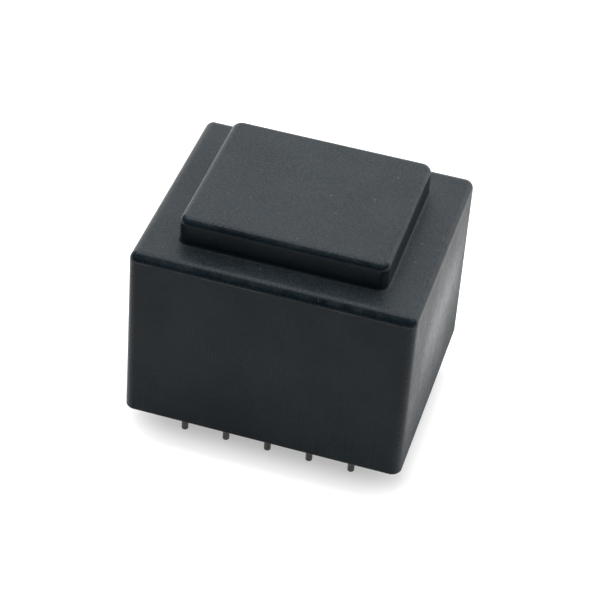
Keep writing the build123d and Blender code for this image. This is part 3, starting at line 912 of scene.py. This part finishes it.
# a slab whose lower face waves, dips at bubbles and climbs the walls, with a collar at every pin
def makeResinSkin():
    tree, given, out = newTree("resinSkin", "GeometryNodeTree", [
        ("Geometry", "Geometry", None),
        ("Half Length", "Float", 0.015),
        ("Half Width", "Float", 0.013),
        ("Steps X", "Int", 100),
        ("Steps Y", "Int", 80),
        ("Level", "Float", 0.0005),
        ("Back", "Float", 0.0006),
        ("Wall Rise", "Float", 0.0003),
        ("Wall Reach", "Float", 0.0003),
        ("Waviness", "Float", 0.0),
        ("Dimple", "Float", 0.0),
        ("Pitch", "Float", 0.005),
        ("Row Spacing", "Float", 0.02),
        ("Per Row", "Int", 5),
        ("Seed", "Float", 5.0),
        ("Material", "Material", None),
    ], [("Geometry", "Geometry")])
    face = addNode(tree, "GeometryNodeMeshGrid", {
        "Size X": calc(tree, "MULTIPLY", given["Half Length"], 2.0),
        "Size Y": calc(tree, "MULTIPLY", given["Half Width"], 2.0),
        "Vertices X": given["Steps X"],
        "Vertices Y": given["Steps Y"],
    })
    thickness = calc(tree, "SUBTRACT", given["Back"], given["Level"])
    upward = addNode(tree, "ShaderNodeCombineXYZ", {2: thickness}).outputs[0]
    raised = addNode(tree, "GeometryNodeExtrudeMesh", {"Mesh": face.outputs["Mesh"], "Offset": upward, "Offset Scale": 1.0, "Individual": False}, mode="FACES")
    under = addNode(tree, "GeometryNodeFlipFaces", {"Mesh": face.outputs["Mesh"]})
    slab = addNode(tree, "GeometryNodeJoinGeometry")
    tree.links.new(under.outputs[0], slab.inputs[0])
    tree.links.new(raised.outputs["Mesh"], slab.inputs[0])
    closed = addNode(tree, "GeometryNodeMergeByDistance", {"Geometry": slab.outputs[0], "Distance": 0.002 * mm})

    position = addNode(tree, "GeometryNodeInputPosition").outputs[0]
    at = addNode(tree, "ShaderNodeSeparateXYZ", {0: position}).outputs
    fromWallX = calc(tree, "SUBTRACT", given["Half Length"], calc(tree, "ABSOLUTE", at[0]))
    fromWallY = calc(tree, "SUBTRACT", given["Half Width"], calc(tree, "ABSOLUTE", at[1]))
    climbs = []
    for away in (fromWallX, fromWallY):
        fall = calc(tree, "DIVIDE", calc(tree, "MAXIMUM", away, 0.0), given["Wall Reach"])
        climbs.append(calc(tree, "EXPONENT", calc(tree, "MULTIPLY", fall, -1.0)))
    climb = calc(tree, "MULTIPLY", calc(tree, "MAXIMUM", *climbs), given["Wall Rise"])
    broad = addNode(tree, "ShaderNodeTexNoise", {"Vector": position, "W": given["Seed"], "Scale": 110.0, "Detail": 2.0}, noise_dimensions="4D")
    wave = calc(tree, "MULTIPLY", calc(tree, "SUBTRACT", broad.outputs[0], 0.5), given["Waviness"])
    bubbles = addNode(tree, "ShaderNodeTexVoronoi", {"Vector": position, "W": given["Seed"], "Scale": 170.0}, voronoi_dimensions="4D", feature="F1")
    inside = between(tree, calc(tree, "MINIMUM", fromWallX, fromWallY), 0.6 * mm, 1.6 * mm)
    pit = calc(tree, "MULTIPLY", between(tree, bubbles.outputs["Distance"], 0.16, 0.05), inside)
    drop = calc(tree, "SUBTRACT", calc(tree, "ADD", wave, calc(tree, "MULTIPLY", pit, given["Dimple"])), climb)
    lower = calc(tree, "LESS_THAN", at[2], calc(tree, "MULTIPLY", thickness, 0.5))
    height = calc(tree, "ADD", given["Level"], calc(tree, "MULTIPLY", drop, lower))
    lift = addNode(tree, "ShaderNodeCombineXYZ", {2: height}).outputs[0]
    waved = addNode(tree, "GeometryNodeSetPosition", {"Geometry": closed.outputs[0], "Offset": lift})

    # collars, one turned profile at each pin
    length = calc(tree, "MULTIPLY", calc(tree, "SUBTRACT", given["Per Row"], 1.0), given["Pitch"])
    places = addNode(tree, "GeometryNodeMeshGrid", {"Size X": length, "Size Y": given["Row Spacing"], "Vertices X": given["Per Row"], "Vertices Y": 2})
    collars = addNode(tree, "GeometryNodeInstanceOnPoints", {"Points": places.outputs["Mesh"], "Instance": given["Geometry"]})
    both = addNode(tree, "GeometryNodeJoinGeometry")
    tree.links.new(collars.outputs[0], both.inputs[0])
    tree.links.new(waved.outputs[0], both.inputs[0])
    real = addNode(tree, "GeometryNodeRealizeInstances", {"Geometry": both.outputs[0]})
    smooth = addNode(tree, "GeometryNodeSetShadeSmooth", {"Geometry": real.outputs[0]})
    painted = addNode(tree, "GeometryNodeSetMaterial", {"Geometry": smooth.outputs[0], "Material": given["Material"]})
    tree.links.new(painted.outputs[0], out["Geometry"])
    return tree


# one collar: resin drawn up a pin's side, closed inside the pin and the slab
def collarMesh(values, legRadius):
    around, steps = 28, 9
    profile = [(legRadius - 0.06, values["back"])]
    profile.append((legRadius - 0.06, values["level"] - values["pinRise"]))
    for i in range(steps):
        away = -0.02 + (values["pinClimb"] + 0.02) * (i / (steps - 1)) ** 1.6
        z = values["level"] - values["pinRise"] * math.exp(-max(away, 0.0) / values["pinReach"])
        profile.append((legRadius + away, z + 0.04 * i / (steps - 1)))
    profile.append((legRadius + values["pinClimb"], values["back"]))
    points, faces = [], []
    for i in range(around):
        turn = 2 * math.pi * i / around
        points += [(r * mm * math.cos(turn), r * mm * math.sin(turn), z * mm) for r, z in profile]
        for j in range(len(profile)):
            a, b = i * len(profile) + j, i * len(profile) + (j + 1) % len(profile)
            nextA, nextB = (a + len(profile)) % (around * len(profile)), (b + len(profile)) % (around * len(profile))
            faces.append((a, b, nextB, nextA))
    mesh = bpy.data.meshes.new("collar")
    mesh.from_pydata(points, [], faces)
    shape = bmesh.new()
    shape.from_mesh(mesh)
    bmesh.ops.recalc_face_normals(shape, faces=shape.faces)
    shape.to_mesh(mesh)
    shape.free()
    return mesh


def makeResinGloss(values):
    material, tree, shader, place = startMaterial("pottingResin", Specular_IOR_Level=0.5)
    grain = useGroup(tree, mouldGrain, Vector=place, Grain_Size=0.25, Cloud_Size=3.5)
    pits = useGroup(tree, specks, Vector=place, Spacing=1.3, Spot_Size=0.16, Share=0.4)["Mask"]
    smallPits = useGroup(tree, specks, Vector=place, Spacing=0.5, Spot_Size=0.05, Share=0.5)["Mask"]
    dust = useGroup(tree, specks, Vector=vectorCalc(tree, "ADD", place, (4.7, 1.9, 0.0)), Spacing=0.6, Spot_Size=0.05, Share=0.45)["Mask"]
    color = mixColor(tree, grain["Shade"], values["color"], values["cloudColor"])
    color = mixColor(tree, calc(tree, "MULTIPLY", dust, 0.5), color, values["dustColor"])
    tree.links.new(color, shader.inputs["Base Color"])
    rough = between(tree, grain["Shade"], 0.0, 1.0, *values["roughness"])
    tree.links.new(calc(tree, "ADD", rough, calc(tree, "MULTIPLY", dust, 0.4), clamp=True), shader.inputs["Roughness"])
    height = calc(tree, "SUBTRACT", calc(tree, "MULTIPLY", grain["Height"], 0.25), calc(tree, "ADD", pits, calc(tree, "MULTIPLY", smallPits, 0.5)))
    bumpOnto(tree, shader, height, 0.03)
    return material


def makeResin(values):
    low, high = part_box("potting_resin")
    gloss = makeResinGloss(values)
    skin = runTree("resinFace", collarMesh(values, pinValues["legRadius"]), makeResinSkin(), {
        "Half Length": high.x,
        "Half Width": high.y,
        "Steps X": values["steps"][0],
        "Steps Y": values["steps"][1],
        "Level": values["level"] * mm,
        "Back": values["back"] * mm,
        "Wall Rise": values["wallRise"] * mm,
        "Wall Reach": values["wallReach"] * mm,
        "Waviness": values["waviness"] * mm,
        "Dimple": values["dimple"] * mm,
        "Pitch": pinValues["pitch"] * mm,
        "Row Spacing": pinValues["rowSpacing"] * mm,
        "Per Row": pinValues["perRow"],
        "Seed": 5.0,
        "Material": gloss,
    })
    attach(skin, "root")
    return gloss


gloss = makeResin(resinValues)

# hidden pieces: the frame's own solids with finishes of their own
hiddenValues = {
    "bobbin": {
        "color": (0.62, 0.56, 0.44, 1), "paleColor": (0.70, 0.65, 0.54, 1), "stainColor": (0.30, 0.24, 0.16, 1),
        "roughness": (0.42, 0.55), "grain": 0.12, "marks": (1.0, 1.0, 1.0), "lines": 0.0, "depth": 0.012, "metal": 0.0,
    },
    "core": {
        "color": (0.20, 0.21, 0.23, 1), "paleColor": (0.34, 0.35, 0.37, 1), "stainColor": (0.10, 0.065, 0.045, 1),
        "roughness": (0.34, 0.52), "grain": 0.07, "marks": (0.04, 1.0, 1.0), "lines": 0.5, "depth": 0.006, "metal": 1.0,
    },
    "winding": {
        "color": (0.44, 0.13, 0.045, 1), "paleColor": (0.62, 0.24, 0.09, 1), "stainColor": (0.16, 0.05, 0.02, 1),
        "roughness": (0.18, 0.30), "grain": 0.20, "marks": (0.05, 1.0, 0.05), "lines": 0.6, "depth": 0.02, "metal": 0.85,
    },
    "tape": {
        "color": (0.62, 0.36, 0.03, 1), "paleColor": (0.74, 0.48, 0.07, 1), "stainColor": (0.35, 0.17, 0.02, 1),
        "roughness": (0.16, 0.30), "grain": 0.9, "marks": (1.0, 0.10, 1.0), "lines": 0.35, "depth": 0.03, "metal": 0.0,
    },
    "lead": {
        "color": (0.50, 0.42, 0.35, 1), "paleColor": (0.66, 0.60, 0.53, 1), "stainColor": (0.17, 0.12, 0.08, 1),
        "roughness": (0.28, 0.42), "grain": 0.06, "marks": (0.08, 0.08, 1.0), "lines": 0.4, "depth": 0.006, "metal": 1.0,
    },
}


def makeHiddenFinish(name, values):
    material, tree, shader, place = startMaterial(name + "Finish")
    shader.inputs["Metallic"].default_value = values["metal"]
    grain = useGroup(tree, mouldGrain, Vector=place, Grain_Size=values["grain"], Cloud_Size=4.0)
    marks = useGroup(tree, drawMarks, Vector=place, Stretch=values["marks"], Line_Size=0.12, Patch_Size=4.0)
    stains = useGroup(tree, specks, Vector=place, Spacing=1.4, Spot_Size=0.22, Share=0.3)["Mask"]
    color = mixColor(tree, grain["Shade"], values["color"], values["paleColor"])
    color = mixColor(tree, calc(tree, "MULTIPLY", marks["Lines"], values["lines"]), color, values["paleColor"])
    color = mixColor(tree, calc(tree, "MULTIPLY", stains, 0.4), color, values["stainColor"])
    tree.links.new(color, shader.inputs["Base Color"])
    rough = between(tree, grain["Height"], 0.35, 0.65, *values["roughness"])
    tree.links.new(calc(tree, "ADD", rough, calc(tree, "MULTIPLY", stains, 0.15), clamp=True), shader.inputs["Roughness"])
    height = calc(tree, "ADD", grain["Height"], calc(tree, "MULTIPLY", marks["Lines"], values["lines"]))
    bumpOnto(tree, shader, height, values["depth"])
    return material


def dressHidden():
    finishes = {name: makeHiddenFinish(name, values) for name, values in hiddenValues.items()}
    finishes["resin"] = gloss
    for nodeName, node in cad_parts.items():
        for name, finish in finishes.items():
            if name in nodeName:
                for slot in node.material_slots:
                    slot.material = finish
                print(nodeName, "finished as", name)


dressHidden()
